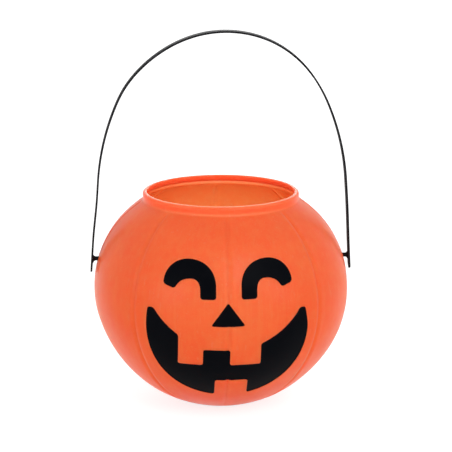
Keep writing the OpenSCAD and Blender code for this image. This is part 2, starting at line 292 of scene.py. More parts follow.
class Graph:
    """The nodes of one material or of the world."""

    # Numbers of the Mix node's sockets for colours, whose names its other sockets bear too
    MIX_FIRST, MIX_SECOND, MIX_RESULT = 6, 7, 2

    BUMP_STRENGTH = 0.5

    def __init__(self, tree):
        self.tree = tree
        tree.nodes.clear()

    @classmethod
    def of_material(cls, name):
        material = bpy.data.materials.new(name)
        material.use_nodes = True
        graph = cls(material.node_tree)
        graph.material = material
        graph.place = graph.node("ShaderNodeTexCoord", {}, {}, "Object")
        return graph

    def node(self, kind, settings, inputs, output=0):
        made = self.tree.nodes.new(kind)
        for name, value in settings.items():
            setattr(made, name, value)
        for name, value in inputs.items():
            socket = made.inputs[name]
            if isinstance(value, Value):
                self.tree.links.new(value.socket, socket)
            else:
                socket.default_value = value
        return Value(self, made.outputs[output]) if len(made.outputs) else None

    def seen(self):
        """1 for what the camera sees itself, in gloss or through glass, and 0 for light on the object."""
        kinds = ("Camera", "Glossy", "Transmission")
        rays = [self.node("ShaderNodeLightPath", {}, {}, f"Is {kind} Ray") for kind in kinds]
        return rays[0].math("MAXIMUM", rays[1]).math("MAXIMUM", rays[2])

    def blend(self, factor, first, second):
        """Mixes two colours."""
        inputs = {0: factor, self.MIX_FIRST: rgba(first), self.MIX_SECOND: rgba(second)}
        return self.node("ShaderNodeMix", {"data_type": "RGBA"}, inputs, self.MIX_RESULT)

    def noise(self, scale, detail=2.0, squeeze=None):
        """Noise over the place in the object, which may be squeezed by a factor along each axis."""
        place = self.place
        if squeeze:
            place = self.node("ShaderNodeVectorMath", {"operation": "MULTIPLY"}, {0: place, 1: squeeze})
        inputs = {"Vector": place, "Scale": scale, "Detail": detail}
        return self.node("ShaderNodeTexNoise", {"noise_dimensions": "3D"}, inputs, "Fac")

    def patches(self, scale, detail, low, high, squeeze=None):
        """Noise that runs smoothly from 0 at its low level to 1 at its high one."""
        return self.noise(scale, detail, squeeze).between(low, high)

    def bump(self, height, distance):
        inputs = {"Height": height, "Distance": distance, "Strength": self.BUMP_STRENGTH}
        return self.node("ShaderNodeBump", {}, inputs)

    def surface(self, base, roughness, normal, gloss, others=None):
        inputs = {"Base Color": base, "Roughness": roughness, "Normal": normal, "Specular IOR Level": gloss}
        shader = self.node("ShaderNodeBsdfPrincipled", {}, {**inputs, **(others or {})})
        self.node("ShaderNodeOutputMaterial", {}, {"Surface": shader})
        return self.material


def rgba(value):
    return value if isinstance(value, Value) else (*value, 1.0)


# Drops below the rim's crest between which the bead's painted shade comes in: a duller orange that damps the
# light glowing through the solid bead
BEAD_SHADE_FADE = (9 * MM, 6 * MM)


def orange_plastic(finish):
    """Satin moulded polyethylene: clouded colour, draw lines, a bead dulled by painted shade, rubbed foot,
    orange peel.
    """
    graph = Graph.of_material("orange_plastic")
    height = graph.node("ShaderNodeSeparateXYZ", {}, {0: graph.place}, "Z")
    clouds = graph.patches(scale=16, detail=3, low=0.35, high=0.7)
    lines = graph.patches(scale=1, detail=2, low=0.4, high=0.7, squeeze=(260, 260, 9))
    mottle = graph.patches(scale=150, detail=3, low=0.38, high=0.68)
    thin = clouds * 0.4 + lines * 0.3 + mottle * 0.25
    base = graph.blend(thin, finish.orange, finish.orange_thin)
    foot = 1.0 - height.between(0.0, finish.rubbed_height)
    scratches = graph.patches(scale=1, detail=4, low=0.6, high=0.74, squeeze=(420, 420, 60))
    specks = graph.patches(scale=900, detail=2, low=0.62, high=0.72)
    # Painted shade: the rim's bead is darkened towards a duller orange to damp the light that glows through
    # the solid bead
    bead = height.between(*(PAIL_TOP - drop for drop in BEAD_SHADE_FADE))
    base = graph.blend(bead * (0.8 + mottle * 0.2), base, finish.bead_shade_orange)
    worn = scratches * (foot * 0.7 + 0.14) + specks * 0.16
    base = graph.blend(worn, base, finish.orange_scuff)
    smears = graph.patches(scale=34, detail=4, low=0.3, high=0.75)
    roughness = finish.orange_roughness + smears * 0.12 + worn * 0.3
    peel = graph.noise(scale=420) * 0.7 + graph.noise(scale=1500) * 0.3
    normal = graph.bump(peel + worn * 0.4, finish.peel_depth)
    glow = {
        "Subsurface Weight": 1.0,
        "Subsurface Scale": finish.glow_depth,
        "Subsurface Radius": (0.42, 0.3, 0.24),
    }
    return graph.surface(base, roughness, normal, finish.orange_gloss, glow)


def face_paint(finish):
    """Sprayed black paint, thicker and thinner in clouds, with a soft gloss."""
    graph = Graph.of_material("black_paint")
    clouds = graph.patches(scale=60, detail=3, low=0.35, high=0.75)
    spray = graph.noise(scale=2200)
    base = graph.blend(clouds * 0.5 + spray * 0.15, finish.paint_black, finish.paint_thin)
    roughness = finish.paint_roughness + clouds * 0.1 + spray * 0.08
    normal = graph.bump(spray + graph.noise(scale=500), finish.spray_depth)
    return graph.surface(base, roughness, normal, finish.paint_gloss)


def strap_plastic(finish):
    """Moulded black plastic with flow lines along the strap and rubbed patches."""
    graph = Graph.of_material("black_plastic")
    rubbed = graph.patches(scale=45, detail=4, low=0.45, high=0.75)
    flow = graph.patches(scale=1, detail=3, low=0.35, high=0.7, squeeze=(60, 900, 60))
    grain = graph.noise(scale=1800)
    base = graph.blend(rubbed * 0.5 + flow * 0.25, finish.strap_black, finish.strap_grey)
    roughness = finish.strap_roughness + rubbed * 0.12 + grain * 0.06
    normal = graph.bump(flow * 0.6 + grain * 0.5, finish.grain_depth)
    return graph.surface(base, roughness, normal, finish.strap_gloss)


# Meshes

def smooth_step(value, low, high):
    share = np.clip((value - low) / (high - low), 0.0, 1.0)
    return share * share * (3.0 - 2.0 * share)


def bell(value, width):
    return np.exp(-((value / width) ** 2))


def linked(name, data):
    """Makes an object of a mesh, a lamp or a camera in the scene."""
    made = bpy.data.objects.new(name, data)
    bpy.context.scene.collection.objects.link(made)
    return made


def piece(name, points, faces, material):
    """Makes an object of one smooth mesh whose folds stay sharp."""
    mesh = bpy.data.meshes.new(name)
    mesh.from_pydata([tuple(p) for p in points], [], [tuple(int(i) for i in f) for f in faces])
    if mesh.validate():
        raise RuntimeError(f"the mesh of {name} isn't sound")
    mesh.shade_smooth()
    mesh.set_sharp_from_angle(angle=SHARP_ANGLE)
    mesh.materials.append(material)
    return linked(name, mesh)


def directions(turns):
    """Directions at turns from the first axis towards the second."""
    return np.stack([np.cos(turns), np.sin(turns)], -1)


def unit(vectors):
    return vectors / np.linalg.norm(vectors, axis=1)[:, None]


def used_only(points, faces):
    """Drops the points that no face uses."""
    flat = np.array(sorted({i for f in faces for i in f}))
    place = np.full(len(points), -1)
    place[flat] = np.arange(len(flat))
    return points[flat], [[place[i] for i in f] for f in faces]


# Outlines of the face, as points (x, z) that run counter-clockwise seen from the front

# Turn about the eye's centre where its arch is fullest, and the half width of that fullness
EYE_FULL_TURN, EYE_FULL_WIDTH = math.radians(137), math.radians(30)

# Points along the nose's sagging lower edge, and the least number of points on any outline
NOSE_POINTS, LEAST_POINTS = 60, 8

# Height of the slant between the mouth's upper teeth
NOTCH_SLANT = 0.6 * MM

# Distances inside the mouth's lower curve between which its swell fades out
MOUTH_FADE = (9 * MM, 1 * MM)

# Turns between which the mouth's right end is drawn in more and more, and a turn short of its left end
RIGHT_DRAW, BETWEEN_ENDS = (-0.15, 0.2), 1.0

# How much nearer than its level a moved point may be to the outline before it counts as part of a loop
LOOP_SLACK = 0.02 * MM

# Points whose distances are measured at once, so that the tables stay small
POINTS_AT_ONCE = 2000


def arc(centre, radius, start, end):
    turns = np.linspace(start, end, max(2, int(abs(end - start) * radius / FINE)))
    return np.array(centre) + radius * directions(turns)


def spaced(outline, step):
    """Points on a closed outline, at even distances."""
    closed = np.vstack([outline, outline[:1]])
    runs = np.concatenate([[0.0], np.cumsum(np.linalg.norm(np.diff(closed, axis=0), axis=1))])
    at = np.linspace(0.0, runs[-1], max(LEAST_POINTS, round(runs[-1] / step)), endpoint=False)
    return np.stack([np.interp(at, runs, closed[:, 0]), np.interp(at, runs, closed[:, 1])], 1)


def softened(outline, corner):
    """Rounds an outline's corners by a running mean."""
    points = spaced(outline, FINE)
    reach = int(corner / FINE / 2)
    weights = np.ones(2 * reach + 1) / (2 * reach + 1)
    wrapped = np.vstack([points[-reach:], points, points[:reach]])
    mean = np.stack([np.convolve(wrapped[:, i], weights, "valid") for i in (0, 1)], 1)
    return spaced(mean, FINE)


def rings_around(outline, levels, step):
    """Outlines at even distances from a fine outline, without the loops that sharp corners would give."""
    tree = kdtree.KDTree(len(outline))
    for number, (x, z) in enumerate(outline):
        tree.insert((x, z, 0.0), number)
    tree.balance()
    square = outward(outline)
    for level in levels:
        moved = outline + level * square
        keep = [tree.find((x, z, 0.0))[2] > abs(level) - LOOP_SLACK for x, z in moved]
        yield spaced(moved[keep], step)


def eye_outline(face):
    """Outline of the right eye."""
    centre = (face.eye_x, face.eye_z)
    end_z = face.eye_z - face.end_drop
    left = face.eye_x - face.eye_radius
    inner = left + face.leg_width
    top = face.eye_z + face.eye_radius - face.band
    hollow = face.eye_x - inner
    cut = math.asin((face.end_slant - face.end_drop) / face.eye_radius)
    inner_z = top - face.eye_inner_radius
    inner_cut = math.asin((end_z - inner_z) / face.eye_inner_radius)
    leg_z = face.eye_z - face.leg_drop
    outline = spaced(np.vstack([
        arc(centre, face.eye_radius, cut, math.pi),
        [(left, leg_z), (inner, leg_z)],
        arc((face.eye_x, top - hollow), hollow, math.pi, math.pi / 2),
        arc((face.eye_x, inner_z), face.eye_inner_radius, math.pi / 2, inner_cut),
    ]), FINE)
    offset = outline - centre
    turn = np.arctan2(offset[:, 1], offset[:, 0]) - EYE_FULL_TURN
    swell = face.eye_fullness * bell(turn, EYE_FULL_WIDTH) / np.linalg.norm(offset, axis=1)
    return outline + offset * swell[:, None]


def nose_outline(face):
    half = face.nose_width / 2
    across = np.linspace(-half, half, NOSE_POINTS)
    base = face.nose_z - face.nose_bow * (1 - (across / half) ** 2)
    tip = (0.0, face.nose_z + face.nose_height)
    return np.vstack([np.stack([across, base], 1), [tip]]) - (face.nose_x, 0.0)


def sides_of(centre, width):
    return centre - width / 2, centre + width / 2


def mouth_outline(face):
    """Outline of the mouth, with its three teeth left out."""
    low, high = (0.0, face.mouth_z), (0.0, face.smile_z)

    def low_at(x):
        return math.acos(x / face.mouth_radius)

    def high_at(x):
        return math.acos(x / face.smile_radius)

    def low_tip(z):
        return math.asin((z - face.mouth_z) / face.mouth_radius)

    def high_tip(z):
        return math.asin((face.smile_z - z) / face.smile_radius)

    bottom = sides_of(face.lower_tooth_x, face.lower_tooth_width)
    left = sides_of(-face.left_tooth_x, face.left_tooth_width)
    right = sides_of(face.right_tooth_x, face.right_tooth_width)
    notch_z = face.smile_z - face.smile_radius * math.sin(high_at(right[0]))
    outline = spaced(np.vstack([
        arc(high, face.smile_radius, -high_tip(face.right_tip_z), -high_at(right[1])),
        [(right[1], face.upper_teeth_z), (right[0], face.upper_teeth_z)],
        [(right[0], notch_z), (left[1], notch_z + NOTCH_SLANT)],
        [(left[1], face.upper_teeth_z), (left[0], face.upper_teeth_z)],
        arc(high, face.smile_radius, -high_at(left[0]), high_tip(face.left_tip_z) - math.pi),
        arc(low, face.mouth_radius, -low_tip(face.left_tip_z) - math.pi, -low_at(bottom[0])),
        [(bottom[0], face.lower_tooth_z), (bottom[1], face.lower_tooth_z)],
        arc(low, face.mouth_radius, -low_at(bottom[1]), low_tip(face.right_tip_z)),
    ]), FINE)

    # The lower curve swells beside its foot, and draws in at the foot and at the ends, most at the right one
    offset = outline - low
    reach = np.linalg.norm(offset, axis=1)
    turn = np.arctan2(offset[:, 1], offset[:, 0])
    edge = smooth_step(reach, face.mouth_radius - MOUTH_FADE[0], face.mouth_radius - MOUTH_FADE[1])
    swell = -face.mouth_fullness * np.cos(4 * turn)
    swell -= face.right_tip_draw * smooth_step(turn, *RIGHT_DRAW) * (turn < BETWEEN_ENDS)
    return outline + offset * (swell * edge / reach)[:, None]


def outward(outline):
    """Directions square to an outline, away from its inside."""
    run = unit(np.roll(outline, -1, 0) - np.roll(outline, 1, 0))
    return np.stack([run[:, 1], -run[:, 0]], 1)


def distance_to(outline, points):
    """Distance of points from a closed outline, below zero inside it."""
    first, second = outline, np.roll(outline, -1, 0)
    run = second - first
    best = np.full(len(points), np.inf)
    inside = np.zeros(len(points), bool)
    for start in range(0, len(points), POINTS_AT_ONCE):
        now = slice(start, start + POINTS_AT_ONCE)
        part = points[now]
        offset = part[:, None] - first
        share = np.clip((offset * run).sum(2) / (run * run).sum(1), 0.0, 1.0)
        best[now] = np.linalg.norm(offset - share[..., None] * run, axis=2).min(1)
        spans = (first[:, 1] > part[:, None, 1]) != (second[:, 1] > part[:, None, 1])
        slope = run[:, 0] / np.where(run[:, 1] == 0.0, 1.0, run[:, 1])
        crossing = first[:, 0] + slope * (part[:, None, 1] - first[:, 1])
        inside[now] = (spans & (part[:, None, 0] < crossing)).sum(1) % 2 == 1
    return np.where(inside, -best, best)


# Pail

class Section:
    """Half section of the pail's outer face, from the middle of the base to the skirt inside the rim."""

    # Numbers of rows in the parts of the section whose rows aren't a set step apart
    SLOPE_ROWS, RING_ROWS, FOOT_ROWS, HOLLOW_ROWS, BEAD_ROWS, SKIRT_ROWS = 9, 4, 3, 7, 30, 3

    def __init__(self, size):
        self.size = size
        self.wall_centre = np.array([size.body_radius - size.wall_arc_radius, size.waist_height])
        along = directions(-size.low_angle)
        join = self.wall_centre + size.wall_arc_radius * along
        to_base = join - np.array([size.base_radius, 0.0])
        self.bowl_radius = (to_base @ to_base) / (2.0 * (to_base @ along))
        self.bowl_centre = join - self.bowl_radius * along
        self.join_z = join[1]

        # The round at the foot touches the floor's plane and the bowl
        reach = self.bowl_radius - size.base_edge
        rise = size.base_edge - self.bowl_centre[1]
        self.foot_x = self.bowl_centre[0] + math.sqrt(reach ** 2 - rise ** 2)
        self.bowl_start = math.atan2(rise, self.foot_x - self.bowl_centre[0])
        self.bowl_length = self.bowl_radius * (-size.low_angle - self.bowl_start)

        # The hollow under the neck touches the wall's arc and the neck's straight part
        self.bead = np.array([size.neck_radius - size.bead_radius, size.rim_height - size.bead_radius])
        aside = directions(-size.neck_taper)
        down = np.array([aside[1], -aside[0]])
        start = self.bead + (size.bead_radius + size.neck_fillet) * aside - self.wall_centre
        half = start @ down
        run = -half - math.sqrt(half ** 2 - start @ start + (size.wall_arc_radius + size.neck_fillet) ** 2)
        self.hollow = self.wall_centre + start + run * down
        to_hollow = self.hollow - self.wall_centre
        self.wall_end = math.atan2(to_hollow[1], to_hollow[0])
        self.length = self.bowl_length + size.wall_arc_radius * (self.wall_end + size.low_angle)

    def at(self, run):
        """Radius, height and outward direction at a distance up the wall from the foot's round."""
        low = run < self.bowl_length
        turn = np.where(
            low,
            self.bowl_start + run / self.bowl_radius,
            (run - self.bowl_length) / self.size.wall_arc_radius - self.size.low_angle,
        )
        radius = np.where(low, self.bowl_radius, self.size.wall_arc_radius)
        centre = np.where(np.asarray(low)[..., None], self.bowl_centre, self.wall_centre)
        out = directions(turn)
        return centre + radius[..., None] * out, out

    def run_at(self, height):
        """Distance up the wall at a height."""
        low = height < self.join_z
        bowl = np.arcsin(np.clip((height - self.bowl_centre[1]) / self.bowl_radius, -1.0, 1.0))
        wall = np.arcsin(np.clip((height - self.wall_centre[1]) / self.size.wall_arc_radius, -1.0, 1.0))
        return np.where(
            low,
            self.bowl_radius * (bowl - self.bowl_start),
            self.bowl_length + self.size.wall_arc_radius * (wall + self.size.low_angle),
        )

    def rows(self):
        """All rows: points, outward directions, distance up the wall, and a mark on the wall's own rows."""
        self.parts = []
        self.add_base()
        self.add_wall()
        self.neck_row = sum(len(part[0]) for part in self.parts) - 1
        self.add_bead()
        return [np.concatenate([part[i] for part in self.parts]) for i in range(4)]

    def add(self, points, outs, runs=None):
        points, outs = np.asarray(points), np.asarray(outs)
        marks = np.full(len(points), runs is not None)
        self.parts.append((points, outs, np.zeros(len(points)) if runs is None else runs, marks))

    def drawn_in(self, points):
        """Points of the foot, drawn in near the floor."""
        inset = self.size.foot_inset * np.clip(1 - points[:, 1] / self.size.foot_height, 0.0, 1.0) ** 2
        return points - np.stack([inset, np.zeros(len(inset))], 1)

    def add_base(self):
        """The pushed-up middle, its slope, the ring that the pail stands on and the foot's round."""
        size = self.size
        flat = np.arange(size.row_step, size.dimple_radius, size.row_step)
        self.add([(r, size.dimple_height) for r in flat], [(0.0, -1.0)] * len(flat))

        # The slope falls by a smooth step, whose rate of change is 6 s (1 - s)
        share = np.linspace(0.0, 1.0, self.SLOPE_ROWS)
        fall = size.dimple_height * (1 - smooth_step(share, 0.0, 1.0))
        slope = -size.dimple_height * 6 * share * (1 - share) / size.dimple_slope
        radii = size.dimple_radius + share * size.dimple_slope
        self.add(np.stack([radii, fall], 1), unit(np.stack([slope, -np.ones(len(slope))], 1)))
        start = size.dimple_radius + size.dimple_slope + size.row_step
        ring = np.linspace(start, self.foot_x - size.foot_inset, self.RING_ROWS)
        self.add([(r, 0.0) for r in ring], [(0.0, -1.0)] * len(ring))
        outs = directions(np.linspace(-math.pi / 2, self.bowl_start, self.FOOT_ROWS + 2)[1:-1])
        self.add(self.drawn_in(np.array([self.foot_x, size.base_edge]) + size.base_edge * outs), outs)

    def add_wall(self):
        """The bowl and the wall, and the hollow under the neck."""
        size = self.size
        runs = np.linspace(0.0, self.length, round(self.length / size.row_step) + 1)
        points, outs = self.at(runs)
        self.add(self.drawn_in(points), outs, runs)
        turns = np.linspace(self.wall_end + math.pi, math.pi - size.neck_taper, self.HOLLOW_ROWS + 1)[1:]
        outs = -directions(turns)
        self.add(self.hollow - size.neck_fillet * outs, outs)

    def add_bead(self):
        """The squared bead, narrower on its inner side, and the skirt inside the opening."""
        size = self.size
        turns = np.linspace(-size.neck_taper, math.pi, self.BEAD_ROWS)
        turned = directions(turns)
        power = size.bead_squareness
        upper = np.clip(turns, 0.0, math.pi)
        swell = (np.abs(np.cos(upper)) ** power + np.sin(upper) ** power) ** (-1 / power)
        share = np.where(turned[:, :1] < 0, (size.bead_inner, 1.0), 1.0)
        outs = np.sign(turned) * np.abs(turned * swell[:, None]) ** (power - 1) / share
        self.add(self.bead + size.bead_radius * swell[:, None] * turned * share, unit(outs))
        drops = np.linspace(0.0, size.skirt, self.SKIRT_ROWS + 1)[1:]
        inner = -size.bead_radius * size.bead_inner
        self.add([self.bead + (inner, -drop) for drop in drops], [(-1.0, 0.0)] * len(drops))


class Skin:
    """The pail's skin, as points by turn and distance up the wall. Both sides of the wall follow it."""

    # Turns of the columns near a groove from its middle, in degrees, and the number of even ones beyond them
    NEAR_COLUMNS = (0.0, 0.18, 0.36, 0.56, 0.8, 1.1, 1.5, 2.1, 3.0, 4.2)
    FAR_COLUMNS = 13

    # Distance from an outline, in mm, and the share of the panel's depth there
    LEVELS = (
        (0.75, 0.0), (0.42, 0.03), (0.12, 0.2), (-0.1, 0.5),
        (-0.32, 0.8), (-0.55, 0.95), (-0.85, 1.0), (-1.2, 1.0),
    )

    # Distance from an outline, in mm, at which the paint ends, and how far off a point on that ring may be
    PAINT_LEVEL, LEVEL_SLACK = 0.12, 0.01

    # Distance inside an outline at which the paint has its full thickness
    PAINT_FULL = 0.4 * MM

    # Distance from a handle hole's edge and the drop of the wall there, in mm
    HOLE_LEVELS = ((0.0, 0.16), (0.1, 0.05), (0.25, 0.01), (0.6, 0.0), (1.3, 0.0))
    HOLE_SIDES = 40

    # Ends of the two kinds of patch, and the room that their loose points keep from the rings
    FACE_LOW, FACE_HIGH, FACE_TURN = 18 * MM, 152 * MM, math.radians(40.8)
    HOLE_REACH, HOLE_TURN = 12 * MM, math.radians(7.1)
    ROOM = 0.45 * MM

    # Distance in mm below which the triangulation takes two points for one
    SAME_POINT = 1e-6

    # The wall's faint waves: number around and phase, and length over 2 pi up the wall and phase there
    WAVES = ((3, 1.3, 17 * MM, 0.6), (5, -0.4, 11 * MM, 2.1))
    WAVE_MIDDLE, WAVE_SHARE = 0.5, 0.25

    # Heights between which the waves start, and the drop from the grooves' upper ends over which they end
    WAVES_START, WAVES_END = (4 * MM, 14 * MM), 8 * MM

    # Distances from the dimple's edge between which the weld line ends
    SCAR_END = (-2 * MM, 1 * MM)

    # Rows of the blend between the bead's skirt and the neck's inner side
    BLEND_ROWS = 10

    def __init__(self, size, groove, face, handle):
        self.size, self.groove, self.face, self.handle = size, groove, face, handle
        self.section = Section(size)
        points, outs, runs, marks = self.section.rows()
        self.columns = self.column_turns()
        count, rows = len(self.columns), len(points)
        self.count = count
        self.row_marks, self.row_heights = marks, points[:, 1]

        # Place of each point. The first one is the middle of the base
        self.turn = np.concatenate([[0.0], np.tile(self.columns, rows)])
        self.point = np.vstack([[(0.0, size.dimple_height)], np.repeat(points, count, 0)])
        self.out = np.vstack([[(0.0, -1.0)], np.repeat(outs, count, 0)])
        self.run = np.concatenate([[0.0], np.repeat(runs, count)])
        self.on_wall = np.concatenate([[False], np.repeat(marks, count)])

        # How far each is sunk, its distance from the outline of its panel, the panel's number or else -1, and
        # the share to which the wall's inner side lies straight behind it
        self.push = np.zeros(len(self.turn))
        self.level = np.full(len(self.turn), np.inf)
        self.shape = np.full(len(self.turn), -1)
        self.straight = np.zeros(len(self.turn))

        self.faces = [(0, 1 + (c + 1) % count, 1 + c) for c in range(count)]
        self.skipped = set()
        self.hole_rings = []
        self.face_patch()
        self.hole_patch(-math.pi / 2)
        self.hole_patch(math.pi / 2)
        for k in range(rows - 1):
            for c in range(count):
                if (k, c) not in self.skipped:
                    n = (c + 1) % count
                    spots = ((k, c), (k, n), (k + 1, n), (k + 1, c))
                    self.faces.append(tuple(self.grid(*spot) for spot in spots))

        # The wall's inner side ends at the neck's row, where the solid bead starts
        neck = self.section.neck_row
        self.neck_row = [self.grid(neck, c) for c in range(count)]
        self.last_row = [self.grid(rows - 1, c) for c in range(count)]
        self.in_bead = np.zeros(len(self.turn), bool)
        self.in_bead[self.grid(neck + 1, 0):self.grid(rows, 0)] = True

    def grid(self, row, column):
        return 1 + row * self.count + column

    def column_turns(self):
        """Turns of the mesh's columns, closer together at the grooves."""
        sector = 360.0 / self.groove.count
        far = np.linspace(self.NEAR_COLUMNS[-1], sector / 2, self.FAR_COLUMNS + 1)[1:]
        both = {round(side * turn, 6) for turn in (*self.NEAR_COLUMNS, *far) for side in (-1, 1)}
        offsets = sorted(both - {round(-sector / 2, 6)})
        turns = [(i * sector + a + 180.0) % 360.0 - 180.0 for i in range(self.groove.count) for a in offsets]
        return np.radians(sorted(turns))

    def patch(self, low_z, high_z, low_turn, high_turn):
        """Takes a rectangle out of the grid: its border's points, and the points inside it."""
        within = self.row_marks & (low_z <= self.row_heights) & (self.row_heights <= high_z)
        bottom, top = (int(row) for row in np.flatnonzero(within)[[0, -1]])
        first = int(np.abs(self.columns - low_turn).argmin())
        last = int(np.abs(self.columns - high_turn).argmin())
        border = [self.grid(bottom, c) for c in range(first, last)]
        border += [self.grid(k, last) for k in range(bottom, top)]
        border += [self.grid(top, c) for c in range(last, first, -1)]
        border += [self.grid(k, first) for k in range(top, bottom, -1)]
        inner = [self.grid(k, c) for k in range(bottom + 1, top) for c in range(first + 1, last)]
        self.skipped |= {(k, c) for k in range(bottom, top) for c in range(first, last)}
        return border, np.array(inner)

    def add_points(self, across, height, facing, push, level=np.inf, shape=-1, straight=0.0):
        """Adds points given by their distance across and their height, seen along the facing turn."""
        run = self.section.run_at(height)
        point, out = self.section.at(run)
        start, count = len(self.turn), len(run)
        added = {
            "turn": facing + np.arcsin(across / point[:, 0]), "point": point, "out": out, "run": run,
            "on_wall": np.full(count, True), "push": np.full(count, push), "level": np.full(count, level),
            "shape": np.full(count, shape), "straight": np.full(count, straight),
        }
        for name, values in added.items():
            setattr(self, name, np.concatenate([getattr(self, name), values]))
        return list(range(start, start + count))

    def triangulate(self, rings, loose):
        """Fills a patch with triangles that keep to its rings' edges."""
        order = [i for ring in rings for i in ring] + list(loose)
        coords = [Vector((self.turn[i] * self.size.body_radius / MM, self.run[i] / MM)) for i in order]
        edges, start = [], 0
        for ring in rings:
            edges += [(start + i, start + (i + 1) % len(ring)) for i in range(len(ring))]
            start += len(ring)
        result = geometry.delaunay_2d_cdt(coords, edges, [], 0, self.SAME_POINT)
        if len(result[0]) != len(order) or any(len(s) != 1 for s in result[3]):
            raise RuntimeError("the rings of a patch cross each other or its border")
        return [tuple(order[result[3][i][0]] for i in f) for f in result[2]]

    def face_patch(self):
        """Sinks the panels of the face into the front wall."""
        face = self.face
        eye = eye_outline(face)
        shapes = [(eye * (-1, 1))[::-1], eye, nose_outline(face), mouth_outline(face)]
        corners = (face.eye_corner, face.eye_corner, face.corner, face.corner)
        fine = [softened(shape, corner) for shape, corner in zip(shapes, corners)]
        self.outlines = [spaced(outline, face.point_step) for outline in fine]
        border, inner = self.patch(self.FACE_LOW, self.FACE_HIGH, -self.FACE_TURN, self.FACE_TURN)
        rings = [border]
        for number, outline in enumerate(fine):
            levels = [level * MM for level, _ in self.LEVELS]
            for (level, share), moved in zip(self.LEVELS, rings_around(outline, levels, face.point_step)):
                rings.append(self.add_points(
                    moved[:, 0], moved[:, 1], 0.0, share * face.panel_depth, level=level * MM, shape=number))
        seen = np.stack([self.point[inner, 0] * np.sin(self.turn[inner]), self.point[inner, 1]], 1)
        near = np.full(len(inner), np.inf)
        outer_ring, inner_ring = self.LEVELS[0][0] * MM, self.LEVELS[-1][0] * MM
        for number, outline in enumerate(self.outlines):
            gap = distance_to(outline, seen)
            inside = inner[gap < 0]
            self.push[inside] = face.panel_depth
            self.level[inside] = gap[gap < 0]
            self.shape[inside] = number
            near = np.minimum(near, np.where(gap < 0, inner_ring - gap, gap - outer_ring))
        loose = inner[near > self.ROOM]
        triangles = self.triangulate(rings, loose)
        self.faces += triangles
        self.face_triangles = triangles

    def hole_patch(self, facing):
        """Opens the round hole for the handle's stud in the side wall."""
        height = self.handle.pivot_z
        low, high = height - self.HOLE_REACH, height + self.HOLE_REACH
        border, inner = self.patch(low, high, facing - self.HOLE_TURN, facing + self.HOLE_TURN)
        turns = np.linspace(0.0, 2 * math.pi, self.HOLE_SIDES, endpoint=False)
        rings = [border]
        for radius, depth in self.HOLE_LEVELS:
            reach = self.handle.hole + radius * MM
            rings.append(self.add_points(
                reach * np.cos(turns), height + reach * np.sin(turns), facing, depth * MM, straight=1.0))
        across = self.point[inner, 0] * np.sin(self.turn[inner] - facing)
        gap = np.hypot(across, self.point[inner, 1] - height) - self.handle.hole
        last = self.HOLE_LEVELS[-1][0] * MM
        self.straight[inner] = 1 - smooth_step(gap, last, self.HOLE_REACH / 2)
        triangles = self.triangulate(rings, inner[gap > last + self.ROOM])
        hole = set(rings[1])
        self.faces += [t for t in triangles if not hole.issuperset(t)]
        self.hole_rings.append(rings[1])

    def relief(self):
        """Depth of the wall's relief below the round section, measured square to the wall."""
        size, groove = self.size, self.groove
        radius, height = self.point[:, 0], self.point[:, 1]

        # Grooves with raised shoulders
        sector = 2 * math.pi / groove.count
        across = radius * (np.mod(self.turn + sector / 2, sector) - sector / 2)
        cut = groove.depth * bell(across, groove.half_width)
        shoulders = bell(np.abs(across) - groove.shoulder, groove.shoulder_width)
        flat = groove.shoulder_height * (1 - np.maximum(shoulders, bell(across, groove.shoulder)))
        ends = smooth_step(height, groove.low_end, groove.low_end + groove.low_fade)
        top = size.rim_height - groove.top_end
        ends *= 1 - smooth_step(height, top - groove.top_fade, top)

        # Faint waves
        swell = self.WAVE_MIDDLE
        for around, phase, length_up, phase_up in self.WAVES:
            ripple = self.WAVE_SHARE * np.sin(around * self.turn + phase)
            swell = swell + ripple * np.sin(height / length_up + phase_up)
        body = smooth_step(height, *self.WAVES_START) * (1 - smooth_step(height, top - self.WAVES_END, top))
        waves = groove.unevenness * swell * body

        # The pads around the handle holes and the sunk panels are plain
        gap = np.hypot(radius * np.cos(self.turn), height - self.handle.pivot_z)
        plain = smooth_step(gap, groove.pad_radius, groove.pad_radius + groove.pad_fade)
        sunk = 1 - self.push / self.face.panel_depth
        depth = (cut * ends + (flat * body + waves) * np.where(self.on_wall, 1.0, 0.0)) * plain * sunk

        # Swell of the lower right side
        middle = (size.swell_low + size.swell_high) / 2
        rise = smooth_step(height, size.swell_low, middle) - smooth_step(height, middle, size.swell_high)
        depth -= size.swell * bell(self.turn - size.swell_turn, size.swell_width) * rise

        # Weld line across the base
        start, end = (size.dimple_radius + distance for distance in self.SCAR_END)
        scar = size.scar_height * bell(radius * np.cos(self.turn), size.scar_width)
        scar *= 1 - smooth_step(radius, start, end)
        return np.where(self.on_wall, depth, -scar)

    def sides(self):
        """Points on the outer and on the inner side of the wall."""
        depth = self.relief()
        outer = self.placed(self.point - depth[:, None] * self.out)
        inward = depth + self.size.wall
        inner = self.placed(self.point - inward[:, None] * self.out)

        # Around the handle holes the inner side lies straight behind the outer one
        near = self.straight > 0
        share = self.straight[near][:, None]
        inner[near] = (1 - share) * inner[near] + share * self.behind(outer[near])
        return outer, inner

    def placed(self, flat):
        """Points in space from points of the section, pushed straight in at the panels and the holes."""
        spots = np.stack([flat[:, 0] * np.sin(self.turn), -flat[:, 0] * np.cos(self.turn), flat[:, 1]], 1)
        sunk = (self.push > 0) & np.isfinite(self.level)
        facing = np.where(sunk, self.out[:, 0] * np.cos(self.turn), 1.0)
        spots[:, 1] += np.where(sunk, self.push / facing, 0.0)
        at_hole = (self.push > 0) & ~sunk
        spots[:, 0] -= np.where(at_hole, self.push * np.sign(spots[:, 0]), 0.0)
        return spots

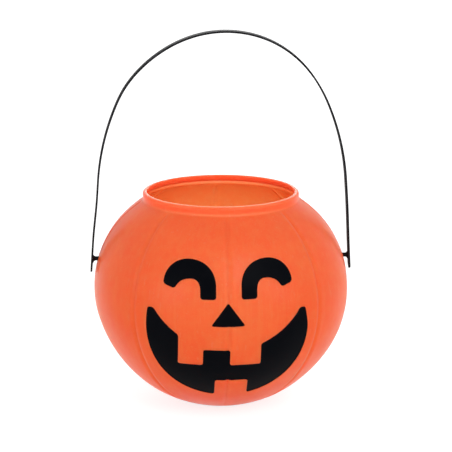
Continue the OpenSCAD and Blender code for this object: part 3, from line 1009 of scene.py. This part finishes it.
    def behind(self, outer):
        """Points on the wall's inner side at the same height and the same distance across the side."""
        size = self.size
        inset = size.wall_arc_radius - size.wall
        radius = self.section.wall_centre[0] + np.sqrt(inset ** 2 - (outer[:, 2] - size.waist_height) ** 2)
        depth = np.sqrt(radius ** 2 - outer[:, 1] ** 2)
        return np.stack([np.sign(outer[:, 0]) * depth, outer[:, 1], outer[:, 2]], 1)


def pail_shell(skin):
    """Closed mesh of the pail's wall."""
    outer, inner = skin.sides()
    count = len(outer)

    # The bead is solid: its skirt runs back into the inner side of the neck
    skirt, neck = outer[skin.last_row], inner[skin.neck_row]
    blend = []
    for share in np.linspace(0.0, 1.0, skin.BLEND_ROWS + 2)[1:-1]:
        out = smooth_step(share, 0.0, 1.0)
        blend.append(skirt + (neck - skirt) * (out, out, share))
    points = np.vstack([outer, inner] + blend)
    faces = list(skin.faces)
    faces += [tuple(i + count for i in reversed(f)) for f in skin.faces if not skin.in_bead[list(f)].any()]
    rows = [skin.last_row]
    rows += [[2 * count + k * skin.count + c for c in range(skin.count)] for k in range(len(blend))]
    rows += [[i + count for i in skin.neck_row]]
    rings = list(zip(rows, rows[1:]))
    rings += [(ring, [i + count for i in ring]) for ring in skin.hole_rings]
    for first, second in rings:
        n = len(first)
        faces += [(first[i], first[(i + 1) % n], second[(i + 1) % n], second[i]) for i in range(n)]
    return used_only(points, faces)


def paint_film(skin, number):
    """Closed thin mesh of the paint in one panel."""
    outer = skin.sides()[0]
    limit = (skin.PAINT_LEVEL + skin.LEVEL_SLACK) * MM
    member = (skin.shape == number) & (skin.level <= limit)
    chosen = [t for t in skin.face_triangles if member[list(t)].all()]
    centres = []
    for triangle in chosen:
        corners = list(triangle)
        across = skin.point[corners, 0] @ np.sin(skin.turn[corners]) / 3
        centres.append((across, skin.point[corners, 1].mean()))
    inside = distance_to(skin.outlines[number], np.array(centres)) < skin.PAINT_LEVEL * MM
    chosen = [t for t, keep in zip(chosen, inside) if keep]
    full = smooth_step(-skin.level, -skin.PAINT_LEVEL * MM, skin.PAINT_FULL)
    top, bottom = outer.copy(), outer.copy()
    top[:, 1] -= np.where(member, skin.face.paint_edge + skin.face.paint * full, 0.0)
    bottom[:, 1] -= skin.face.paint_gap
    count = len(outer)
    faces = list(chosen) + [tuple(i + count for i in reversed(t)) for t in chosen]
    edges = {(t[i], t[(i + 1) % 3]) for t in chosen for i in range(3)}
    faces += [(b, a, a + count, b + count) for a, b in edges if (b, a) not in edges]
    return used_only(np.vstack([top, bottom]), faces)


# Handle

# Numbers of cross sections of the strap: along it, and in each of its round tails
STRAP_STATIONS, TAIL_STATIONS = 281, 12

# Numbers of points on a round of the strap's edge, on the side of the stud's head, and on its flare
EDGE_POINTS, HEAD_POINTS, FLARE_POINTS = 5, 5, 9

# Numbers of sides of the studs, and of the gate and pin marks
STUD_SIDES, MARK_SIDES = 48, 32

# Widths of the gate mark half way up and at its top, as shares of its foot's width
GATE_MIDDLE, GATE_TOP = 0.92, 0.6

# Number of pin marks on each side of the crown's top, and reach of the cutter that leaves them past the strap
PINS_A_SIDE, OVERRUN = 5, 1 * MM


class Arch:
    """Middle line of the strap, by distance from the crown's top."""

    def __init__(self, handle, section):
        self.handle = handle
        wall = section.wall_centre[0] + math.sqrt(
            section.size.wall_arc_radius ** 2 - (handle.pivot_z - section.size.waist_height) ** 2)
        self.pivot_x = wall + handle.offset
        self.leg_turn = math.pi / 2 - handle.lean
        crown = handle.crown_share * self.pivot_x
        bend = handle.bend_share * self.pivot_x
        top = np.array([0.0, handle.pivot_z + handle.rise - crown])
        bend_centre = top + (crown - bend) * self.up(handle.crown_angle)
        bend_end = bend_centre + bend * self.up(handle.bend_angle)
        drop = np.array([self.pivot_x, handle.pivot_z]) - bend_end
        side = (drop @ self.up(self.leg_turn)) / (1 - math.cos(self.leg_turn - handle.bend_angle))
        side_centre = bend_end - side * self.up(handle.bend_angle)
        self.leg_start = side_centre + side * self.up(self.leg_turn)
        self.along = np.array([math.cos(self.leg_turn), -math.sin(self.leg_turn)])
        leg = (np.array([self.pivot_x, handle.pivot_z]) - self.leg_start) @ self.along
        self.arcs = [
            (top, crown, 0.0, handle.crown_angle),
            (bend_centre, bend, handle.crown_angle, handle.bend_angle),
            (side_centre, side, handle.bend_angle, self.leg_turn),
        ]
        self.length = sum(r * (b - a) for _, r, a, b in self.arcs) + leg + handle.tail

    @staticmethod
    def up(turn):
        return np.array([math.sin(turn), math.cos(turn)])

    def at(self, distance):
        """Point (x, z) and outward direction at a distance from the top, to the right if it's above zero."""
        left = abs(distance)
        point, out = None, None
        for centre, radius, start, end in self.arcs:
            if left <= radius * (end - start):
                out = self.up(start + left / radius)
                point = centre + radius * out
                break
            left -= radius * (end - start)
        if point is None:
            out = self.up(self.leg_turn)
            point = self.leg_start + left * self.along
        side = -1.0 if distance < 0 else 1.0
        point, out = point * (side, 1.0), out * (side, 1.0)

        # The left leg starts to drift higher up, so that it stays clear of the wall as it swings
        handle = self.handle
        height = point[1] - handle.pivot_z
        start = handle.left_drift_start if side < 0 else -handle.tail
        point[0] += handle.drift * smooth_step(height, start, handle.drift_height)
        point[0] += handle.crown_drift * smooth_step(height, handle.crown_drift_start, handle.rise)
        return point, out


def strap_mesh(handle, arch):
    """Flat strap with rounded edges and round tails, bent along the arch."""
    half, thick, edge = handle.width / 2, handle.thickness / 2, handle.edge
    straight = arch.length - half
    stations = [(d, 0.0, 0.0) for d in np.linspace(-straight, straight, STRAP_STATIONS)]
    turns = np.linspace(0.0, math.pi / 2, TAIL_STATIONS + 1)[1:]
    stations = [(-straight, t, -1.0) for t in turns[::-1]] + stations + [(straight, t, 1.0) for t in turns]
    rounds = np.linspace(0.0, math.pi / 2, EDGE_POINTS)
    profile = [(edge * (1 - math.sin(t)), thick - edge + edge * math.cos(t)) for t in rounds]
    profile += [(inset, -height) for inset, height in reversed(profile)]
    count = len(stations)
    points, rings = [], []
    for inset, height in profile:
        reach = half - inset
        sides = []
        for side in (1.0, -1.0):
            row = []
            for number, (base, turn, end) in enumerate(stations):
                if side < 0 and number in (0, count - 1):
                    row.append(sides[0][number])
                    continue
                spot, out = arch.at(base + end * reach * math.sin(turn))
                spot = spot + height * out
                row.append(len(points))
                points.append((spot[0], side * reach * math.cos(turn), spot[1]))
            sides.append(row)
        rings.append(sides)
    faces = []
    for (right, left), flip in ((rings[0], False), (rings[-1], True)):
        for j in range(count - 1):
            quad = [left[j], left[j + 1], right[j + 1], right[j]]
            quad = [i for n, i in enumerate(quad) if i not in quad[:n]]
            faces.append(tuple(reversed(quad)) if flip else tuple(quad))
    for upper, lower in zip(rings, rings[1:]):
        for j in range(count - 1):
            faces.append((upper[0][j], upper[0][j + 1], lower[0][j + 1], lower[0][j]))
            faces.append((upper[1][j + 1], upper[1][j], lower[1][j], lower[1][j + 1]))
    return np.array(points), faces


def turned_mesh(outline, axis_z, sides, mirror=1.0):
    """Solid turned about the line along x at a height, from points (x, radius) whose ends lie on the line."""
    turns = np.linspace(0.0, 2 * math.pi, sides, endpoint=False)
    points = [(mirror * outline[0][0], 0.0, axis_z)]
    for x, radius in outline[1:-1]:
        points += [(mirror * x, radius * math.cos(t), axis_z + radius * math.sin(t)) for t in turns]
    points.append((mirror * outline[-1][0], 0.0, axis_z))
    last = len(points) - 1
    rings = len(outline) - 2
    faces = []
    for c in range(sides):
        n = (c + 1) % sides
        faces.append((0, 1 + n, 1 + c))
        for k in range(rings - 1):
            a = 1 + k * sides
            faces.append((a + c, a + n, a + sides + n, a + sides + c))
        a = 1 + (rings - 1) * sides
        faces.append((a + c, a + n, last))
    if mirror < 0:
        faces = [tuple(reversed(f)) for f in faces]
    return np.array(points), faces


def stud_outline(handle, arch, section):
    """Points (x, radius) of the stud from the tip of its head to the middle of the strap."""
    size = section.size
    head_z = handle.pivot_z + handle.head - size.waist_height
    inner = section.wall_centre[0] + math.sqrt((size.wall_arc_radius - size.wall) ** 2 - head_z ** 2)
    shoulder = math.sqrt(inner ** 2 - handle.head ** 2) - handle.play
    tip = shoulder - handle.head_length
    slope = (handle.head - handle.head_tip) / handle.head_length
    root = arch.pivot_x - handle.thickness / 2
    outline = [(tip, 0.0), (tip, handle.head_tip - handle.blunt)]
    for step in np.linspace(handle.blunt, handle.head_length - handle.blunt, HEAD_POINTS):
        outline.append((tip + step, handle.head_tip + slope * step))
    outline += [(shoulder, handle.head - handle.blunt), (shoulder, handle.stud + handle.blunt)]
    outline.append((shoulder + handle.blunt, handle.stud))
    for share in np.linspace(0.0, 1.0, FLARE_POINTS):
        flare = handle.stud + (handle.flare - handle.stud) * share ** 3
        outline.append((root - handle.flare_length * (1 - share), flare))
    return outline + [(arch.pivot_x, handle.flare), (arch.pivot_x, 0.0)]


def gate_outline(handle):
    """Points (x, radius) of the low button that the mould's gate leaves, from inside the strap to its top."""
    root, top = -handle.thickness / 3, handle.gate_height
    middle = (top / 2, handle.gate * GATE_MIDDLE)
    return [(root, 0.0), (root, handle.gate), middle, (top, handle.gate * GATE_TOP), (top, 0.0)]


def pin_outline(handle):
    """Points (x, radius) of the cutter that leaves an ejector pin's mark."""
    floor = -handle.pin_depth
    return [(floor, 0.0), (floor, handle.pin), (OVERRUN, handle.pin), (OVERRUN, 0.0)]


def on_strap(arch, distance, outline):
    """Solid turned about the line square to the strap's inner face at a distance from the top."""
    points, faces = turned_mesh(outline, 0.0, MARK_SIDES)
    spot, out = arch.at(distance)
    spot = spot - out * arch.handle.thickness / 2
    placed = spot - points[:, :1] * out + points[:, 2:] * np.array([out[1], -out[0]])
    return np.stack([placed[:, 0], points[:, 1], placed[:, 1]], 1), faces


def together(solids):
    """One mesh of several solids that lie apart."""
    points, faces, start = [], [], 0
    for own, sides in solids:
        points.append(own)
        faces += [tuple(i + start for i in side) for side in sides]
        start += len(own)
    return np.vstack(points), faces


def combine(target, other, operation):
    """Joins another solid to the target, or cuts it out, and drops the other."""
    change = target.modifiers.new(operation, "BOOLEAN")
    change.operation, change.solver, change.object = operation, "EXACT", other
    evaluated = target.evaluated_get(bpy.context.evaluated_depsgraph_get())
    mesh = bpy.data.meshes.new_from_object(evaluated)
    target.modifiers.clear()
    target.data = mesh
    bpy.data.objects.remove(other)


# Operators

def skin_of(scene):
    return Skin(scene.pail_sizes, scene.groove_sizes, scene.face_sizes, scene.handle_sizes)


class CANDYPAIL_OT_body(bpy.types.Operator):
    """Makes the pail's moulded wall with its grooves, sunk panels, rim and handle holes"""

    bl_idname = "candypail.body"
    bl_label = "Pail body"

    def execute(self, context):
        scene = context.scene
        points, faces = pail_shell(skin_of(scene))
        body = piece("pail_shell", points, faces, orange_plastic(scene.pail_finish))
        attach(body, "pail")
        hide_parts("pail_body")
        return {"FINISHED"}


class CANDYPAIL_OT_face(bpy.types.Operator):
    """Makes the black paint in the sunk panels of the face"""

    bl_idname = "candypail.face"
    bl_label = "Face paint"

    def execute(self, context):
        scene = context.scene
        skin = skin_of(scene)
        material = face_paint(scene.pail_finish)
        for number, name in enumerate(("left_eye", "right_eye", "nose", "mouth")):
            points, faces = paint_film(skin, number)
            film = piece(f"{name}_film", points, faces, material)
            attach(film, "pail")
            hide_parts(f"{name}_paint")
        return {"FINISHED"}


class CANDYPAIL_OT_handle(bpy.types.Operator):
    """Makes the strap handle with its two studs"""

    bl_idname = "candypail.handle"
    bl_label = "Handle"

    def execute(self, context):
        scene = context.scene
        handle = scene.handle_sizes
        section = Section(scene.pail_sizes)
        arch = Arch(handle, section)
        material = strap_plastic(scene.pail_finish)
        strap = piece("strap_handle", *strap_mesh(handle, arch), material)
        outline = stud_outline(handle, arch, section)
        studs = [turned_mesh(outline, handle.pivot_z, STUD_SIDES, mirror) for mirror in (1.0, -1.0)]
        combine(strap, piece("studs", *together(studs), material), "UNION")
        gate = on_strap(arch, 0.0, gate_outline(handle))
        combine(strap, piece("gate", *gate, material), "UNION")
        places = [side * step * handle.pin_step for step in range(1, PINS_A_SIDE + 1) for side in (1, -1)]
        pins = [on_strap(arch, distance, pin_outline(handle)) for distance in places]
        combine(strap, piece("pin_marks", *together(pins), material), "DIFFERENCE")
        strap.data.shade_smooth()
        strap.data.set_sharp_from_angle(angle=HANDLE_SHARP_ANGLE)
        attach(strap, "handle")
        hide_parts("handle")
        return {"FINISHED"}


class CANDYPAIL_OT_stage(bpy.types.Operator):
    """Makes the floor, the light and the camera"""

    bl_idname = "candypail.stage"
    bl_label = "Stage"

    # Place and width of each round lamp, in metres
    LAMPS = {
        "key": ((0.7, -1.8, 1.4), 1.2),
        "left_fill": ((-1.7, -1.5, 0.45), 0.9),
        "right_fill": ((1.7, -1.5, 0.45), 0.9),
        "back": ((0.2, 1.9, 1.0), 1.4),
    }

    WHITE = (1.0, 1.0, 1.0, 1.0)

    def execute(self, context):
        scene = context.scene
        stage = scene.stage_settings
        scene.view_settings.view_transform = "Standard"
        self.camera(scene, stage)
        self.floor(scene, stage)
        self.world(scene, stage)
        for name, (place, size) in self.LAMPS.items():
            self.lamp(stage, name, Vector(place), size)
        return {"FINISHED"}

    def camera(self, scene, stage):
        data = bpy.data.cameras.new("camera")
        data.sensor_width = stage.sensor / MM
        data.lens = stage.lens / MM
        made = linked("camera", data)
        turn, rise = stage.azimuth, stage.elevation
        back = Vector((math.sin(turn) * math.cos(rise), -math.cos(turn) * math.cos(rise), math.sin(rise)))
        focal = stage.picture * stage.lens / stage.sensor
        across = math.atan((stage.picture / 2 - stage.aim_x) / focal)
        up = math.atan((stage.aim_y - stage.picture / 2) / focal)
        place = Vector((0.0, 0.0, stage.aim_height)) + back * stage.distance
        look = (-back).to_track_quat("-Z", "Y").to_matrix()
        look = look @ Matrix.Rotation(-across, 3, "Y") @ Matrix.Rotation(up, 3, "X")
        made.matrix_world = Matrix.Translation(place) @ look.to_4x4()
        scene.camera = made

    def floor(self, scene, stage):
        graph = Graph.of_material("floor_white")
        seen = graph.seen()
        white = graph.node("ShaderNodeBsdfDiffuse", {}, {"Color": rgba(scene.pail_finish.floor_white)})
        shaded = graph.node("ShaderNodeBsdfDiffuse", {}, {"Color": rgba(scene.pail_finish.floor_shade)})
        glow = graph.node("ShaderNodeEmission", {}, {"Color": self.WHITE, "Strength": stage.floor_glow})
        both = graph.node("ShaderNodeAddShader", {}, {0: shaded, 1: glow})
        surface = graph.node("ShaderNodeMixShader", {}, {0: seen, 1: white, 2: both})
        graph.node("ShaderNodeOutputMaterial", {}, {"Surface": surface})
        corners = [(-1.0, -1.0), (1.0, -1.0), (1.0, 1.0), (-1.0, 1.0)]
        points = [(x * stage.floor_reach, y * stage.floor_reach, -stage.floor_drop) for x, y in corners]
        piece("floor", points, [(0, 1, 2, 3)], graph.material)

    def world(self, scene, stage):
        world = bpy.data.worlds.new("sky")
        world.use_nodes = True
        graph = Graph(world.node_tree)
        seen = graph.seen()
        strength = stage.sky + seen * (1.0 - stage.sky)
        sky = graph.node("ShaderNodeBackground", {}, {"Color": self.WHITE, "Strength": strength})
        graph.node("ShaderNodeOutputWorld", {}, {"Surface": sky})
        scene.world = world

    def lamp(self, stage, name, place, size):
        """A round soft lamp that points at the pail and that the camera doesn't see."""
        data = bpy.data.lights.new(name, "AREA")
        data.shape = "DISK"
        data.size = size
        data.energy = getattr(stage, name)
        made = linked(name, data)
        made.visible_camera = False
        aim = Vector((0.0, 0.0, stage.aim_height)) - place
        made.matrix_world = Matrix.Translation(place) @ aim.to_track_quat("-Z", "Y").to_matrix().to_4x4()


class CANDYPAIL_PT_panel(bpy.types.Panel):
    """Lists the pieces of the candy pail and their sizes"""

    bl_label = "Candy pail"
    bl_idname = "CANDYPAIL_PT_panel"
    bl_space_type = "VIEW_3D"
    bl_region_type = "UI"
    bl_category = "Candy pail"

    def draw(self, context):
        layout = self.layout
        for operator in OPERATORS:
            layout.operator(operator.bl_idname)
        for name, group in GROUPS.items():
            box = layout.box()
            for value in group.__annotations__:
                box.prop(getattr(context.scene, name), value)


GROUPS = {
    "pail_sizes": PailSizes,
    "groove_sizes": GrooveSizes,
    "face_sizes": FaceSizes,
    "handle_sizes": HandleSizes,
    "pail_finish": Finish,
    "stage_settings": StageSettings,
}
OPERATORS = (CANDYPAIL_OT_body, CANDYPAIL_OT_face, CANDYPAIL_OT_handle, CANDYPAIL_OT_stage)


def register():
    for item in (*GROUPS.values(), *OPERATORS, CANDYPAIL_PT_panel):
        bpy.utils.register_class(item)
    for name, group in GROUPS.items():
        setattr(bpy.types.Scene, name, PointerProperty(type=group))


def unregister():
    for name in GROUPS:
        delattr(bpy.types.Scene, name)
    for item in reversed((*GROUPS.values(), *OPERATORS, CANDYPAIL_PT_panel)):
        bpy.utils.unregister_class(item)


def main():
    register()
    bpy.ops.candypail.stage()
    bpy.ops.candypail.body()
    bpy.ops.candypail.face()
    bpy.ops.candypail.handle()


if __name__ == "__main__":
    main()
